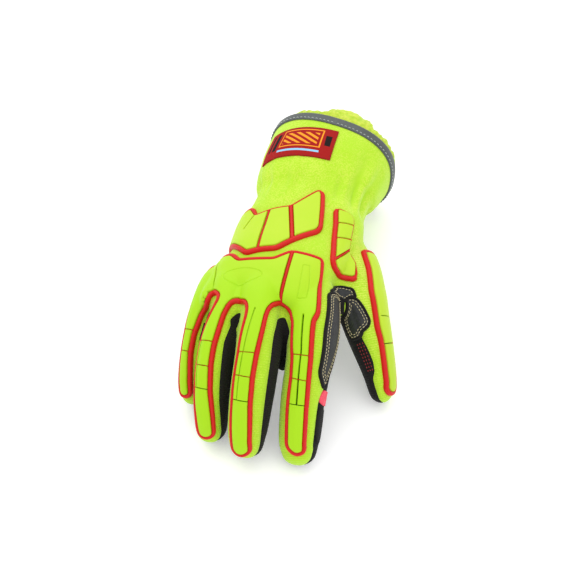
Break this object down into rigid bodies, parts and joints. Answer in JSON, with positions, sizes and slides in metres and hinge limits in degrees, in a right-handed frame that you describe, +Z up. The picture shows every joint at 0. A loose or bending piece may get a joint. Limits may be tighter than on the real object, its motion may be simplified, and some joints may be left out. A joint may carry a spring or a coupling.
{
  "type": "work glove",
  "caption": "Insulated work glove for the right hand, lying palm down, with moulded impact pads on the back, a gathered gauntlet cuff and a leather thumb saddle.",
  "frame": {"origin": "middle of the glove's footprint on the surface that it lies on", "axes": "+Z up from that surface to the back of the hand, the fingers point to -Y, the cuff opens to +Y and the thumb is at +X"},
  "size_m": [0.1502, 0.2668, 0.0825],
  "materials": {
    "lime_cloth": "knitted",
    "lime_pile": "curled pile",
    "black_cloth": "knitted",
    "reflective_tape": "reflective",
    "woven_label": "woven",
    "grained_leather": "grained",
    "red_rubber": "satin",
    "lime_rubber": "satin"
  },
  "bodies": {
    "root": {"cuff": "lime_cloth", "hand_back": "lime_cloth", "hand_palm": "black_cloth", "finger_back_index": "lime_cloth", "finger_front_index": "black_cloth", "finger_back_middle": "lime_cloth", "finger_front_middle": "black_cloth", "finger_back_ring": "lime_cloth", "finger_front_ring": "black_cloth", "finger_back_little": "lime_cloth", "finger_front_little": "black_cloth", "thumb_back": "lime_cloth", "thumb_front": "black_cloth", "cuff_binding": "reflective_tape", "cuff_lining": "lime_pile", "rim_wrist": "red_rubber", "pad_wrist_1": "lime_rubber", "pad_wrist_2": "lime_rubber", "pad_wrist_3": "lime_rubber", "pad_wrist_4": "lime_rubber", "rim_hand": "red_rubber", "pad_hand_side": "lime_rubber", "pad_hand_left": "lime_rubber", "pad_hand_right": "lime_rubber", "rim_thumb_base": "red_rubber", "pad_thumb_base_1": "lime_rubber", "pad_thumb_base_2": "lime_rubber", "pad_thumb_base_3": "lime_rubber", "pad_thumb_base_4": "lime_rubber", "rim_index": "red_rubber", "pad_index": "lime_rubber", "rim_middle": "red_rubber", "pad_middle": "lime_rubber", "rim_ring": "red_rubber", "pad_ring": "lime_rubber", "rim_little": "red_rubber", "pad_little": "lime_rubber", "rim_thumb": "red_rubber", "pad_thumb": "lime_rubber", "saddle_index": "grained_leather", "saddle_thumb": "grained_leather", "tip_patch_index": "black_cloth", "label": "woven_label"}
  },
  "joints": []
}
